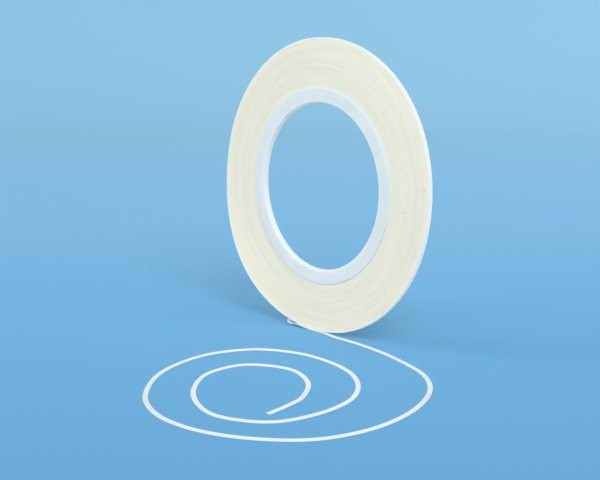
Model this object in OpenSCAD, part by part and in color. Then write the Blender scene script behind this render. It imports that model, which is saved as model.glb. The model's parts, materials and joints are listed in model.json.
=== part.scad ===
// Roll of narrow, flexible masking tape, standing on its edge with its free end laid out in front.
// The table top is Z = 0, the roll's axis runs along Y, and the origin is under the roll's middle.

/* [Core] */
// Diameter of the bore through the core
bore_d = 76.2; // [60:0.1:90]
// Wall of the core, from its bore to the first turn of tape
core_wall = 6.6; // [3:0.1:9]
// Width of the core along its axis
core_w = 3; // [2:0.1:8]
// Bevel at the two edges of the bore
bore_bevel = 0.4; // [0.1:0.05:0.6]
// Bevel at the two edges that the tape is wound between
rim_bevel = 0.2; // [0.05:0.05:0.4]

/* [Tape] */
// Outer diameter of the wound tape
roll_d = 134; // [112:1:170]
// Width of the tape
tape_w = 2; // [1.5:0.1:8]
// Thickness of one layer of tape
tape_t = 0.14; // [0.1:0.01:0.2]
// Clearance between the core and the first turn
core_gap = 0.02; // [0.01:0.01:0.05]

/* [Peel fold] */
// Angle round the rim, from the foot of the roll, at which the last turn peels off
peel_angle = 15; // [14:1:30]
// Running clearance between the rim and the tape that is doubled back under it
peel_gap = 0.1; // [0.05:0.01:0.2]

/* [Hidden] */
$fn = 180;

core_r = bore_d / 2 + core_wall;
roll_r = roll_d / 2;
// The roll stands on the doubled-back tape, which lies on the table
axis_z = tape_t + peel_gap + roll_r;
// Middle of the doubled-back tape, measured from the roll's axis
under_r = roll_r + peel_gap + tape_t / 2;

// The loop at the peel: [distance along the rim from the peel angle, distance out from under_r]
LOOP = [
    [0, 0], [1, 0], [2, 0.2], [2.6, 0.6], [2.6, 1.2], [2, 1.6],
    [0.9, 1.6], [-0.5, 1.3], [-2, 0.7], [-3.5, 0.2], [-5, 0]
];
// Steps that the doubled-back tape takes round the rim, from the loop down to the table
UNDER_STEPS = 10;

// Route of the free end over the table, from the foot of the roll to its cut end
TAIL = [
    [0, 0], [6, -1], [13, -3], [20, -4], [30, -5], [47, -8], [67, -14],
    [85, -22], [100, -35], [111, -52], [118, -71], [120, -91], [115, -110],
    [101, -124], [83, -132], [63, -133], [44, -127], [28, -116], [13, -100],
    [4, -82], [1, -63], [8, -45], [25, -36], [45, -36], [64, -42], [80, -54],
    [91, -70], [95, -90], [91, -108], [74, -117], [56, -113], [38, -101], [25, -84],
    [25, -65], [42, -56], [61, -63], [75, -78], [80, -90], [83, -102]
];

// Point halfway and so on between b and c, on the smooth curve through a, b, c and d
function between(a, b, c, d, s) =
    b + 0.5 * s * ((c - a) + s * ((2 * a - 5 * b + 4 * c - d) + s * (3 * (b - c) + d - a)));

// The points joined by a smooth curve, with the given number of steps in each span
function smooth(points, steps) =
    let (last = len(points) - 1)
    [
        for (i = [0 : last - 1], k = [0 : steps - 1])
            between(
                points[max(i - 1, 0)], points[i], points[i + 1], points[min(i + 2, last)],
                k / steps
            ),
        points[last]
    ];

// Direction of travel at one point of a route
function heading(route, i) =
    let (
        step = route[min(i + 1, len(route) - 1)] - route[max(i - 1, 0)]
    )
    step / norm(step);

// A point beside the rim: angle from the foot of the roll, and distance from the roll's axis
function rim_point(angle, radius) = [-radius * sin(angle), 0, axis_z - radius * cos(angle)];

// Arc length along the doubled-back tape as an angle
function along(distance) = distance * 180 / (PI * under_r);

loop_route = [for (p = smooth(LOOP, 3)) rim_point(peel_angle + along(p[0]), under_r + p[1])];
loop_end_angle = peel_angle + along(LOOP[len(LOOP) - 1][0]);
under_route = [
    for (i = [1 : UNDER_STEPS]) rim_point(loop_end_angle * (1 - i / UNDER_STEPS), under_r)
];
fold_route = concat(loop_route, under_route);
tail_route = [for (p = smooth(TAIL, 2)) [p[0], p[1], tape_t / 2]];

// Flat tape swept along a route: one flat rectangle per point, joined by triangles
module ribbon(route, sides) {
    last = len(route) - 1;
    corners = [
        for (i = [0 : last])
            let (
                side = sides[i] * tape_w / 2,
                up = cross(heading(route, i), sides[i]) * tape_t / 2
            )
            each [
                route[i] - side - up, route[i] + side - up,
                route[i] + side + up, route[i] - side + up
            ]
    ];
    walls = [
        for (i = [0 : last - 1], k = [0 : 3])
            let (a = 4 * i + k, b = 4 * i + (k + 1) % 4)
            each [[a, b + 4, b], [a, a + 4, b + 4]]
    ];
    start_cap = [[0, 1, 2], [0, 2, 3]];
    end_cap = [for (t = start_cap) [for (k = [2 : -1 : 0]) 4 * last + t[k]]];
    polyhedron(corners, concat(start_cap, walls, end_cap));
}

// Ring round the roll's axis, from a half section in [radius, distance along the axis]
module ring(section) {
    translate([0, 0, axis_z]) rotate([90, 0, 0]) rotate_extrude() polygon(section);
}

module core() {
    inner = bore_d / 2;
    half_w = core_w / 2;
    color([0.84, 0.91, 0.93])
    ring([
        [inner, bore_bevel - half_w], [inner + bore_bevel, -half_w],
        [core_r - rim_bevel, -half_w], [core_r, rim_bevel - half_w],
        [core_r, half_w - rim_bevel], [core_r - rim_bevel, half_w],
        [inner + bore_bevel, half_w], [inner, half_w - bore_bevel]
    ]);
}

module wound_tape() {
    inner = core_r + core_gap;
    half_w = tape_w / 2;
    color([0.91, 0.92, 0.85])
    ring([[inner, -half_w], [roll_r, -half_w], [roll_r, half_w], [inner, half_w]]);
}

module peel_fold() {
    color([0.94, 0.96, 0.96])
    ribbon(fold_route, [for (p = fold_route) [0, 1, 0]]);
}

module tape_tail() {
    last = len(tail_route) - 1;
    sides = [
        for (i = [0 : last])
            let (h = heading(tail_route, i))
            i == 0 ? [0, 1, 0] : [-h[1], h[0], 0]
    ];
    color([0.94, 0.96, 0.97])
    ribbon(tail_route, sides);
}

core();
wound_tape();
peel_fold();
tape_tail();
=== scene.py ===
"""Masking tape roll on its edge, with its free end peeled off and laid out in a flat spiral."""

import json
import math
import random

import bpy
from mathutils import Vector, noise
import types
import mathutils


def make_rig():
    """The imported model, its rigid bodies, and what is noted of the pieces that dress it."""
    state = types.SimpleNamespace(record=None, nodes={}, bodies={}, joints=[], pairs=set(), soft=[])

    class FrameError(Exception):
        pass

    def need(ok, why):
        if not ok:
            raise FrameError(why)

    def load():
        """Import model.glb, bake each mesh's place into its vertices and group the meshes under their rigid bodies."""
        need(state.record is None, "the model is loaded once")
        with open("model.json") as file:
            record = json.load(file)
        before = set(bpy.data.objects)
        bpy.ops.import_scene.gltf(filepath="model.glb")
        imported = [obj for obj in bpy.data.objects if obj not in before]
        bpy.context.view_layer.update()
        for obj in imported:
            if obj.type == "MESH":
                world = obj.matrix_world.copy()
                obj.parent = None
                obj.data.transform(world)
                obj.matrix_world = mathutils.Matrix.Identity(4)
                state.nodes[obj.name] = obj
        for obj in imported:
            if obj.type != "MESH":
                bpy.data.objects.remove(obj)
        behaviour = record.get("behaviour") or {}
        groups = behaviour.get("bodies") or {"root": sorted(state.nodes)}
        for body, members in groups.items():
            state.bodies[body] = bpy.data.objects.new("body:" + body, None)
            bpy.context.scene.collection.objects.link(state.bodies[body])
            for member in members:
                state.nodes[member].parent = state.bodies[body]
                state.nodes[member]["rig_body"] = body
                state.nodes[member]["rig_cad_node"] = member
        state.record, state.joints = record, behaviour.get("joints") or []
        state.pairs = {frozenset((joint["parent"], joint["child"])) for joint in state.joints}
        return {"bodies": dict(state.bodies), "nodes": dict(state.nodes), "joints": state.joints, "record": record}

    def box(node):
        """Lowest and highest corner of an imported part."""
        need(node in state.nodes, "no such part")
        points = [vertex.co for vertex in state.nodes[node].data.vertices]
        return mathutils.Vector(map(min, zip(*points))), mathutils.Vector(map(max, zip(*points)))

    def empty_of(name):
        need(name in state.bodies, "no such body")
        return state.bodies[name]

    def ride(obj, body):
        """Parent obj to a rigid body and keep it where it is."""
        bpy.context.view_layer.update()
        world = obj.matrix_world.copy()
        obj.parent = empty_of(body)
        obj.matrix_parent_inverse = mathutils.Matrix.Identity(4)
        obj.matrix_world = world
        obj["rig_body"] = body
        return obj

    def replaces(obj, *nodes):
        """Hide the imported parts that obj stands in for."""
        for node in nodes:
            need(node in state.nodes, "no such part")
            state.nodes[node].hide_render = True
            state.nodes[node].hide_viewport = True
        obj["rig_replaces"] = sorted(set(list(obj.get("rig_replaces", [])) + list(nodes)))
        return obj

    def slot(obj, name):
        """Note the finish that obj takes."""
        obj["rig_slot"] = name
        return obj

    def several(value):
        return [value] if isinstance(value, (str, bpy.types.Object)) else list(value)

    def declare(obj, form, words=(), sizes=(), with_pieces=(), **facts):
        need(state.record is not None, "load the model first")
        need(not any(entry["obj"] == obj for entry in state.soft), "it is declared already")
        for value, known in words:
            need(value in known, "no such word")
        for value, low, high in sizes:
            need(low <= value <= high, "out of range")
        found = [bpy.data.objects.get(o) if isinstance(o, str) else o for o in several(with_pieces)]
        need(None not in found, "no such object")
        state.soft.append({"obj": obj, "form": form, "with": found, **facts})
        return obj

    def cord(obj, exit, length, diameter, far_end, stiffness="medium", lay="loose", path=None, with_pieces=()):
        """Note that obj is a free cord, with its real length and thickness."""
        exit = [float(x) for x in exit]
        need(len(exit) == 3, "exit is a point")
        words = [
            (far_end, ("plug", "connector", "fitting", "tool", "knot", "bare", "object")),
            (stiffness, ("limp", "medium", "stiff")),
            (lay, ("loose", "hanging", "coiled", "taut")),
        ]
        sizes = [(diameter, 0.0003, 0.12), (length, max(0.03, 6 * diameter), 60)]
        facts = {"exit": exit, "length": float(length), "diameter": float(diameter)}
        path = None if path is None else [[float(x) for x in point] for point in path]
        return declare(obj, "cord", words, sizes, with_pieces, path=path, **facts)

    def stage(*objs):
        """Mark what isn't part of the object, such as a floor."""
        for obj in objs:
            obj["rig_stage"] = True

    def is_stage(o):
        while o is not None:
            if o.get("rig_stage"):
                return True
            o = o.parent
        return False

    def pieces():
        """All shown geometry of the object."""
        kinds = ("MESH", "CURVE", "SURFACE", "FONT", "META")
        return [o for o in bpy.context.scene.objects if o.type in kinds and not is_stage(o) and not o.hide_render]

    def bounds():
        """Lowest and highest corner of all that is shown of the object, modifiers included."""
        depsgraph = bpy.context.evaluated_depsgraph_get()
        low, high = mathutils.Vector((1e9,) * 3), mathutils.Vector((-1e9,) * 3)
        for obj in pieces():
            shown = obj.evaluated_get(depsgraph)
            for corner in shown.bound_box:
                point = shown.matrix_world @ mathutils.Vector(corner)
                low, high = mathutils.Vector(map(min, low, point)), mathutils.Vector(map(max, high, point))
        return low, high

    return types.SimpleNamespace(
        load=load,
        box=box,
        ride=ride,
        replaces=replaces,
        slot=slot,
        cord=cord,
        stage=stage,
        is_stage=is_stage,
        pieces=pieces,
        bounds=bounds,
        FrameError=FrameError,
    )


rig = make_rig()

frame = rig.load()
cad_low, cad_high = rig.bounds()

# ---------------------------------------------------------------- sizes, in metres, from the frame

MM = 0.001
TURN = 2 * math.pi

tape_low, tape_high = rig.box("wound_tape")
core_low, core_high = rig.box("core")
tail_low, tail_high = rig.box("tape_tail")
bore_mount = next(m for m in frame["record"]["mounts"] if m["name"] == "core_bore")

ROLL_R = (tape_high.z - tape_low.z) / 2
AXIS_Z = (tape_high.z + tape_low.z) / 2
TAPE_W = tape_high.y - tape_low.y
CORE_R = (core_high.z - core_low.z) / 2
TAPE_T = tail_high.z - tail_low.z
BORE_R = bore_mount["dims"]["r_mm"] * MM


# ---------------------------------------------------------------- camera

CAMERA_AT = (0.3988, -0.3685, 0.1271)
CAMERA_TURN = 48.25
CAMERA_DOWN = 8.84
CAMERA_LENS = 72


def make_camera():
    data = bpy.data.cameras.new("camera")
    data.sensor_width = 36
    data.lens = CAMERA_LENS
    camera = bpy.data.objects.new("camera", data)
    camera.location = CAMERA_AT
    camera.rotation_euler = (math.radians(90 - CAMERA_DOWN), 0, math.radians(CAMERA_TURN))
    bpy.context.collection.objects.link(camera)
    bpy.context.scene.camera = camera


# ---------------------------------------------------------------- routes of the tape

# Route of the free end over the table, from the foot of the roll to its cut end
TAIL = [
    (0, 0), (0.006, -0.001), (0.013, -0.003), (0.02, -0.004), (0.03, -0.005), (0.047, -0.008),
    (0.067, -0.014), (0.085, -0.022), (0.1, -0.035), (0.111, -0.052), (0.118, -0.071),
    (0.12, -0.091), (0.115, -0.11), (0.101, -0.124), (0.083, -0.132), (0.063, -0.133),
    (0.044, -0.127), (0.028, -0.116), (0.013, -0.1), (0.004, -0.082), (0.001, -0.063),
    (0.008, -0.045), (0.025, -0.036), (0.045, -0.036), (0.064, -0.042), (0.08, -0.054),
    (0.091, -0.07), (0.095, -0.09), (0.091, -0.108), (0.074, -0.117), (0.056, -0.113),
    (0.038, -0.101), (0.025, -0.084), (0.025, -0.065), (0.042, -0.056), (0.061, -0.063),
    (0.075, -0.078), (0.08, -0.09), (0.083, -0.102),
]

# The loop at the peel: distance along the rim from the peel angle, and distance out from the rim
LOOP = [
    (0, 0), (0.001, 0), (0.002, 0.0002), (0.0026, 0.0006), (0.0026, 0.0012),
    (0.002, 0.0016), (0.0009, 0.0016), (-0.0005, 0.0013), (-0.002, 0.0007),
    (-0.0035, 0.0002), (-0.005, 0),
]
PEEL_ANGLE = math.radians(15)
PEEL_SHIFT = 0.001
UNDER_R = AXIS_Z - TAPE_T / 2


def smooth(points, steps):
    """The points joined by a smooth curve, with the given number of steps in each span."""
    points = [Vector(p) for p in points]
    last = len(points) - 1
    out = []
    for i in range(last):
        a, b, c, d = (points[min(max(i + k, 0), last)] for k in (-1, 0, 1, 2))
        for k in range(steps):
            s = k / steps
            out.append(b + 0.5 * s * (
                (c - a) + s * ((2 * a - 5 * b + 4 * c - d) + s * (3 * (b - c) + d - a))
            ))
    return out + [points[last]]


def heading(route, i):
    return (route[min(i + 1, len(route) - 1)] - route[max(i - 1, 0)]).normalized()


# ---------------------------------------------------------------- meshes

def add_mesh(name, points, faces, materials, face_material=None):
    mesh = bpy.data.meshes.new(name)
    mesh.from_pydata([tuple(p) for p in points], [], faces)
    for m in materials:
        mesh.materials.append(m)
    if face_material:
        mesh.polygons.foreach_set("material_index", face_material)
    mesh.polygons.foreach_set("use_smooth", [True] * len(mesh.polygons))
    mesh.update()
    piece = bpy.data.objects.new(name, mesh)
    bpy.context.collection.objects.link(piece)
    return piece


# Half outline of the strip's cross-section: share of the half width, share of the half thickness
STRIP_SECTION = [(-1, -0.4), (-0.97, -1), (0.97, -1), (1, -0.4), (1, 0.4), (0.97, 1), (-0.97, 1), (-1, 0.4)]


def ribbon(name, route, sides, material, width=TAPE_W):
    """Flat tape swept along a route; sides are the directions across its width."""
    around = len(STRIP_SECTION)
    points, faces = [], []
    for i, at in enumerate(route):
        side = sides[i]
        up = heading(route, i).cross(side).normalized()
        for across, out in STRIP_SECTION:
            points.append(at + side * (across * width / 2) + up * (out * TAPE_T / 2))
    for i in range(len(route) - 1):
        for k in range(around):
            a, b = i * around + k, i * around + (k + 1) % around
            faces.append((a, a + around, b + around, b))
    faces.append(tuple(range(around)))
    faces.append(tuple(reversed(range(len(points) - around, len(points)))))
    piece = add_mesh(name, points, faces, [material])
    piece.data.set_sharp_from_angle(angle=math.radians(40))
    return piece


# The strip was laid from the back left, so its edge on that side lifts a little where it curves
LIFT = math.radians(12)
LIFT_SIDE = Vector((-0.746, 0.666, 0))
LIFT_STARTS = 0.03
# The free end has slipped forward a little where it leaves the roll
SLIP_ENDS = 0.02


def make_tail(material):
    flat = smooth(TAIL, 12)
    route, sides = [], []
    travelled = 0.0
    for i, p in enumerate(flat):
        if i:
            travelled += (p - flat[i - 1]).length
        h = heading(flat, i)
        side = Vector((-h.y, h.x, 0))
        slip = PEEL_SHIFT * max(1 - travelled / SLIP_ENDS, 0)
        lift = LIFT * side.dot(LIFT_SIDE) * min(travelled / LIFT_STARTS, 1)
        rise = abs(math.sin(lift)) * TAPE_W / 2
        route.append(Vector((p.x, p.y - slip, TAPE_T / 2 + rise)))
        sides.append(side * math.cos(lift) + Vector((0, 0, math.sin(lift))))
    sides[0] = Vector((0, 1, 0))
    piece = ribbon("free_end_tape", route, sides, material)
    length = sum((b - a).length for a, b in zip(route, route[1:]))
    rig.replaces(piece, "tape_tail")
    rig.cord(
        piece, exit=route[0], length=length, diameter=TAPE_W, far_end="bare",
        stiffness="limp", lay="loose", path=route,
    )
    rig.ride(piece, "free_end")
    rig.slot(piece, "tape_film")
    return piece


def make_peel_fold(material):
    def rim_point(angle, radius, shift):
        y = rim_lean(ROLL_R, -math.pi / 2 - angle) - shift
        return Vector((-radius * math.sin(angle), y, AXIS_Z - radius * math.cos(angle)))

    loop = smooth(LOOP, 8)
    route = [
        rim_point(PEEL_ANGLE + p.x / UNDER_R, UNDER_R + p.y, PEEL_SHIFT * i / (len(loop) - 1))
        for i, p in enumerate(loop)
    ]
    end_angle = PEEL_ANGLE + LOOP[-1][0] / UNDER_R
    steps = 30
    route += [
        rim_point(end_angle * (1 - i / steps), UNDER_R, PEEL_SHIFT) for i in range(1, steps + 1)
    ]
    piece = ribbon("peel_fold_tape", route, [Vector((0, 1, 0))] * len(route), material)
    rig.replaces(piece, "peel_fold")
    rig.ride(piece, "free_end")
    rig.slot(piece, "tape_film")
    return piece


# The thin roll is a little warped: each swell is the angle of its middle from +X towards +Z,
# half its span, and how far the rim stands towards -Y there
SWELLS = [
    (math.radians(223), math.radians(55), 2.8 * MM),
    (math.radians(45), math.radians(60), -1.4 * MM),
]


def rim_lean(radius, angle):
    """How far the wound turns stand off their plane, at an angle from +X towards +Z."""
    out = max((radius - CORE_R) / (ROLL_R - CORE_R), 0)
    lean = 0.0
    for middle, half_span, height in SWELLS:
        off = ((angle - middle + math.pi) % TURN - math.pi) / half_span
        if abs(off) < 1:
            lean -= height * math.cos(off * math.pi / 2) ** 2 * out ** 2
    return lean


ROLL_SEGMENTS = 360


def revolve(name, section, materials, place=None, pick=None):
    """Ring round the roll's axis, from a closed section of (radius, y) going round it.

    place(radius, y, angle) gives the y of a point; pick(a, b) gives the material of the band
    between two neighbouring points of the section.
    """
    count = len(section)
    points, faces, which = [], [], []
    for s in range(ROLL_SEGMENTS):
        angle = TURN * s / ROLL_SEGMENTS
        for r, y in section:
            if place:
                y = place(r, y, angle)
            points.append((r * math.cos(angle), y, AXIS_Z + r * math.sin(angle)))
    for s in range(ROLL_SEGMENTS):
        t = (s + 1) % ROLL_SEGMENTS
        for k in range(count):
            n = (k + 1) % count
            faces.append((s * count + k, s * count + n, t * count + n, t * count + k))
            which.append(pick(section[k], section[n]) if pick else 0)
    piece = add_mesh(name, points, faces, materials, which)
    piece.data.set_sharp_from_angle(angle=math.radians(50))
    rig.ride(piece, "roll")
    return piece


BORE_ROUND = 0.6 * MM
OUTER_ROUND = 0.25 * MM
ROUND_STEPS = 6


def make_core(material):
    """The core, with its edges rounded."""
    half = (core_high.y - core_low.y) / 2
    corners = [
        (BORE_R + BORE_ROUND, BORE_ROUND - half, BORE_ROUND, 180),
        (CORE_R - OUTER_ROUND, OUTER_ROUND - half, OUTER_ROUND, 270),
        (CORE_R - OUTER_ROUND, half - OUTER_ROUND, OUTER_ROUND, 0),
        (BORE_R + BORE_ROUND, half - BORE_ROUND, BORE_ROUND, 90),
    ]
    section = []
    for r, y, size, start in corners:
        for i in range(ROUND_STEPS + 1):
            a = math.radians(start + 90 * i / ROUND_STEPS)
            section.append((r + size * math.cos(a), y + size * math.sin(a)))
    piece = revolve("tape_core", section, [material])
    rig.replaces(piece, "core")
    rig.slot(piece, "core_plastic")
    return piece


TURNS_SHOWN = 80
RIDGE = 0.022 * MM
CORE_GAP = 0.02 * MM


def make_wound_tape(edges, film):
    """The wound turns: each ring of the side faces stands a hair in or out, as wound layers do."""
    rng = random.Random(7)
    inner = CORE_R + CORE_GAP
    radii = [inner + (ROLL_R - inner) * i / TURNS_SHOWN for i in range(TURNS_SHOWN + 1)]
    front = [TAPE_W / 2 - RIDGE * rng.random() for _ in radii]
    back = [TAPE_W / 2 - RIDGE * rng.random() for _ in radii]
    front[-1] = back[-1] = front[0] = back[0] = TAPE_W / 2 - 2 * RIDGE
    section = [(r, -h) for r, h in zip(radii, front)]
    section += [(r, h) for r, h in reversed(list(zip(radii, back)))]

    def place(r, y, angle):
        across = Vector((math.cos(angle), 0, math.sin(angle)))
        wobble = RIDGE * noise.noise(across * 3 + Vector((r * 900, 0, 0)))
        return y * (1 + wobble / TAPE_W) + rim_lean(r, angle)

    def pick(a, b):
        return 0 if a[0] != b[0] else 1

    piece = revolve("wound_tape_turns", section, [edges, film], place, pick)
    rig.replaces(piece, "wound_tape")
    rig.slot(piece, "wound_tape")
    return piece


# ---------------------------------------------------------------- materials

def linear(*rgb):
    """A colour given as 0 to 255 on the screen, as the shader's own numbers."""
    out = [(c / 255 / 12.92) if c <= 10 else ((c / 255 + 0.055) / 1.055) ** 2.4 for c in rgb]
    return (*out, 1)


class Shader:
    """A material with a Principled shader, and short ways to add nodes to it."""

    def __init__(self, name, roughness, **constants):
        self.material = bpy.data.materials.new(name)
        self.material.use_nodes = True
        self.nodes = self.material.node_tree.nodes
        self.links = self.material.node_tree.links
        self.shader = self.nodes["Principled BSDF"]
        self.shader.inputs["Roughness"].default_value = roughness
        for key, value in constants.items():
            self.shader.inputs[key.replace("_", " ")].default_value = value

    def add(self, kind, inputs=(), **settings):
        node = self.nodes.new(kind)
        for key, value in settings.items():
            setattr(node, key, value)
        for socket, value in dict(inputs).items():
            if isinstance(value, bpy.types.NodeSocket):
                self.links.new(value, node.inputs[socket])
            else:
                node.inputs[socket].default_value = value
        return node

    def math(self, operation, a, b=0.0):
        return self.add("ShaderNodeMath", {0: a, 1: b}, operation=operation).outputs[0]

    def place(self):
        return self.add("ShaderNodeTexCoord").outputs["Object"]

    def from_axis(self):
        """Vector from the roll's axis, square to it, and its length."""
        moved = self.add(
            "ShaderNodeVectorMath", {0: self.place(), 1: (0, 0, AXIS_Z)}, operation="SUBTRACT"
        )
        flat = self.add(
            "ShaderNodeVectorMath", {0: moved.outputs[0], 1: (1, 0, 1)}, operation="MULTIPLY"
        )
        length = self.add("ShaderNodeVectorMath", {0: flat.outputs[0]}, operation="LENGTH")
        return flat.outputs[0], length.outputs["Value"]

    def rings(self, flat, radius, per_mm, turn_scale, detail=3):
        """Noise that changes fast along the radius and slowly round the axis."""
        way = self.add("ShaderNodeVectorMath", {0: flat}, operation="NORMALIZE")
        return self.add(
            "ShaderNodeTexNoise",
            {"Vector": way.outputs[0], "W": self.math("MULTIPLY", radius, per_mm / MM),
             "Scale": turn_scale, "Detail": detail},
            noise_dimensions="4D",
        ).outputs["Fac"]

    def noise(self, scale, detail=3, roughness=0.5):
        return self.add(
            "ShaderNodeTexNoise",
            {"Vector": self.place(), "Scale": scale, "Detail": detail, "Roughness": roughness},
        ).outputs["Fac"]

    def ramp(self, factor, *stops):
        """Colour by factor; each stop is (place, (r, g, b) on the screen)."""
        node = self.add("ShaderNodeValToRGB", {"Fac": factor})
        elements = node.color_ramp.elements
        for i, (at, rgb) in enumerate(stops):
            element = elements[i] if i < 2 else elements.new(at)
            element.position = at
            element.color = linear(*rgb)
        return node.outputs["Color"]

    def mix(self, factor, a, b, blend="MIX"):
        node = self.add("ShaderNodeMix", data_type="RGBA", blend_type=blend)
        for socket, value in ((node.inputs[0], factor), (node.inputs[6], a), (node.inputs[7], b)):
            if isinstance(value, bpy.types.NodeSocket):
                self.links.new(value, socket)
            else:
                socket.default_value = value
        return node.outputs[2]

    def span(self, value, low, high, to_low=0.0, to_high=1.0):
        return self.add(
            "ShaderNodeMapRange",
            {"Value": value, "From Min": low, "From Max": high, "To Min": to_low,
             "To Max": to_high},
        ).outputs["Result"]

    def colour(self, socket):
        self.links.new(socket, self.shader.inputs["Base Color"])

    def bump(self, height, strength, distance):
        node = self.add("ShaderNodeBump", {"Height": height, "Strength": strength,
                                           "Distance": distance})
        self.links.new(node.outputs["Normal"], self.shader.inputs["Normal"])


def tape_edges():
    """Side faces of the wound tape: hundreds of cream layer edges."""
    m = Shader("tape_edges", 0.6)
    flat, radius = m.from_axis()
    fine = m.rings(flat, radius, 2.2, 2.5)
    broad = m.rings(flat, radius, 0.3, 1.2)
    cream = m.ramp(fine, (0.3, (235, 236, 216)), (0.7, (249, 249, 233)))
    tone = m.ramp(broad, (0.3, (248, 248, 246)), (0.7, (255, 255, 255)))
    colour = m.mix(1.0, cream, tone, "MULTIPLY")
    warm = m.span(radius, ROLL_R - 5 * MM, ROLL_R - 1 * MM)
    patches = m.span(m.noise(70, 3), 0.42, 0.62, 0.1, 0.7)
    colour = m.mix(m.math("MULTIPLY", warm, patches), colour, linear(250, 240, 224))
    # Painted highlight: the outermost 0.3 to 0.75 mm of the side faces is painted whiter and cyan-tinted, for the
    # rim's edge catching the light.
    rim = m.span(radius, ROLL_R - 0.75 * MM, ROLL_R - 0.3 * MM)
    colour = m.mix(rim, colour, linear(238, 250, 250))
    first = m.span(radius, CORE_R + 0.5 * MM, CORE_R + 1.4 * MM, 0.75, 0.0)
    colour = m.mix(first, colour, linear(240, 244, 234))
    specks = m.span(m.noise(700, 2, 0.4), 0.735, 0.76)
    colour = m.mix(m.math("MULTIPLY", specks, 0.3), colour, linear(150, 146, 132))
    m.colour(colour)
    m.bump(m.rings(flat, radius, 6, 2), 0.3, 0.04 * MM)
    return m.material


def tape_film(name, screen):
    """The film's smooth white backing."""
    m = Shader(name, 0.38)
    soft = m.noise(60, 4)
    dark = tuple(c - 8 for c in screen)
    m.colour(m.ramp(soft, (0.3, dark), (0.7, screen)))
    m.bump(m.noise(1500, 3), 0.15, 0.02 * MM)
    return m.material


def core_plastic():
    """Moulded plastic, bluish and translucent, with a painted highlight: a lighter band round the bore where its
    rounded edge catches the light.
    """
    m = Shader("core_plastic", 0.35, Subsurface_Weight=0.3, Subsurface_Scale=0.002)
    _, radius = m.from_axis()
    cloud = m.noise(90, 4)
    body = m.ramp(cloud, (0.3, (224, 236, 239)), (0.7, (232, 243, 245)))
    # Painted highlight: the lighter, bluer colours near the bore stand in for the rounded bore edge catching the
    # light.
    edge = m.ramp(cloud, (0.3, (230, 239, 245)), (0.7, (237, 245, 250)))
    bore_highlight_mask = m.span(radius, BORE_R + 1.3 * MM, BORE_R + 2.1 * MM, 1.0, 0.0)
    m.colour(m.mix(bore_highlight_mask, body, edge))
    m.bump(m.noise(700, 4), 0.12, 0.03 * MM)
    return m.material


# ---------------------------------------------------------------- stage and light

SWEEP_FLAT = 1.4
SWEEP_BEND = 0.8
SWEEP_SEGMENTS = 96
# Painted shading on the paper: deeper blue at the front right, paler towards the back left, for how the light falls
# off across it
SWEEP_PALER = (-0.746, 0.666, 0)
SWEEP_DARK = -0.253
SWEEP_PALE = 1.597


def make_sweep():
    """Pale blue floor that curves up into a wall all round, far outside the camera's walk."""
    m = Shader("sweep_paper", 0.9, Specular_IOR_Level=0.0)
    along = m.add(
        "ShaderNodeVectorMath", {0: m.place(), 1: SWEEP_PALER}, operation="DOT_PRODUCT"
    ).outputs["Value"]
    # Painted shading: the blue grades from dark at the front right to pale at the back left, standing in for the
    # light's falloff.
    blue = m.ramp(
        m.span(along, SWEEP_DARK, SWEEP_PALE),
        (0.0, (104, 167, 214)), (0.14, (114, 177, 221)), (0.35, (128, 186, 227)),
        (0.62, (133, 188, 222)), (1.0, (137, 188, 217)),
    )
    rays = m.add("ShaderNodeLightPath").outputs
    seen = m.math("MAXIMUM", rays["Is Camera Ray"], rays["Is Glossy Ray"])
    m.colour(m.mix(seen, linear(208, 214, 220), blue))
    section = [(SWEEP_FLAT * (i / 6), 0) for i in range(7)]
    for i in range(1, 25):
        a = math.pi / 2 * i / 24
        section.append((SWEEP_FLAT + SWEEP_BEND * math.sin(a), SWEEP_BEND * (1 - math.cos(a))))
    count = len(section)
    points = [
        (r * math.cos(TURN * s / SWEEP_SEGMENTS), r * math.sin(TURN * s / SWEEP_SEGMENTS), z)
        for s in range(SWEEP_SEGMENTS) for r, z in section
    ]
    faces = [
        (s * count + k, (s + 1) % SWEEP_SEGMENTS * count + k,
         (s + 1) % SWEEP_SEGMENTS * count + k + 1, s * count + k + 1)
        for s in range(SWEEP_SEGMENTS) for k in range(count - 1)
    ]
    sweep = add_mesh("sweep", points, faces, [m.material])
    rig.stage(sweep)


def sun(name, toward, strength, soft):
    """Parallel soft light; toward is the direction from the object to the light."""
    data = bpy.data.lights.new(name, "SUN")
    data.energy = strength
    data.angle = math.radians(soft)
    lamp = bpy.data.objects.new(name, data)
    lamp.rotation_euler = Vector(toward).to_track_quat("Z", "Y").to_euler()
    bpy.context.collection.objects.link(lamp)


def make_light():
    world = bpy.data.worlds.new("world")
    world.use_nodes = True
    background = world.node_tree.nodes["Background"]
    background.inputs["Color"].default_value = linear(255, 253, 251)
    background.inputs["Strength"].default_value = 0.5
    bpy.context.scene.world = world
    sun("light_right", (0.9, -0.5, 0.72), 1.35, 30)
    sun("light_left", (-0.7, -0.7, 0.35), 1.7, 45)
    sun("light_top", (0.35, 0.15, 1), 0.48, 45)
    bpy.context.scene.view_settings.view_transform = "Standard"


# ---------------------------------------------------------------- build

make_camera()
film = tape_film("tape_film", (236, 244, 248))
backing = tape_film("tape_backing", (246, 250, 251))
make_tail(film)
make_peel_fold(film)
make_wound_tape(tape_edges(), backing)
make_core(core_plastic())
make_sweep()
make_light()

low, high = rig.bounds()
with open("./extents.json", "w") as out:
    json.dump({"cad": [list(cad_low), list(cad_high)], "visual": [list(low), list(high)]}, out)
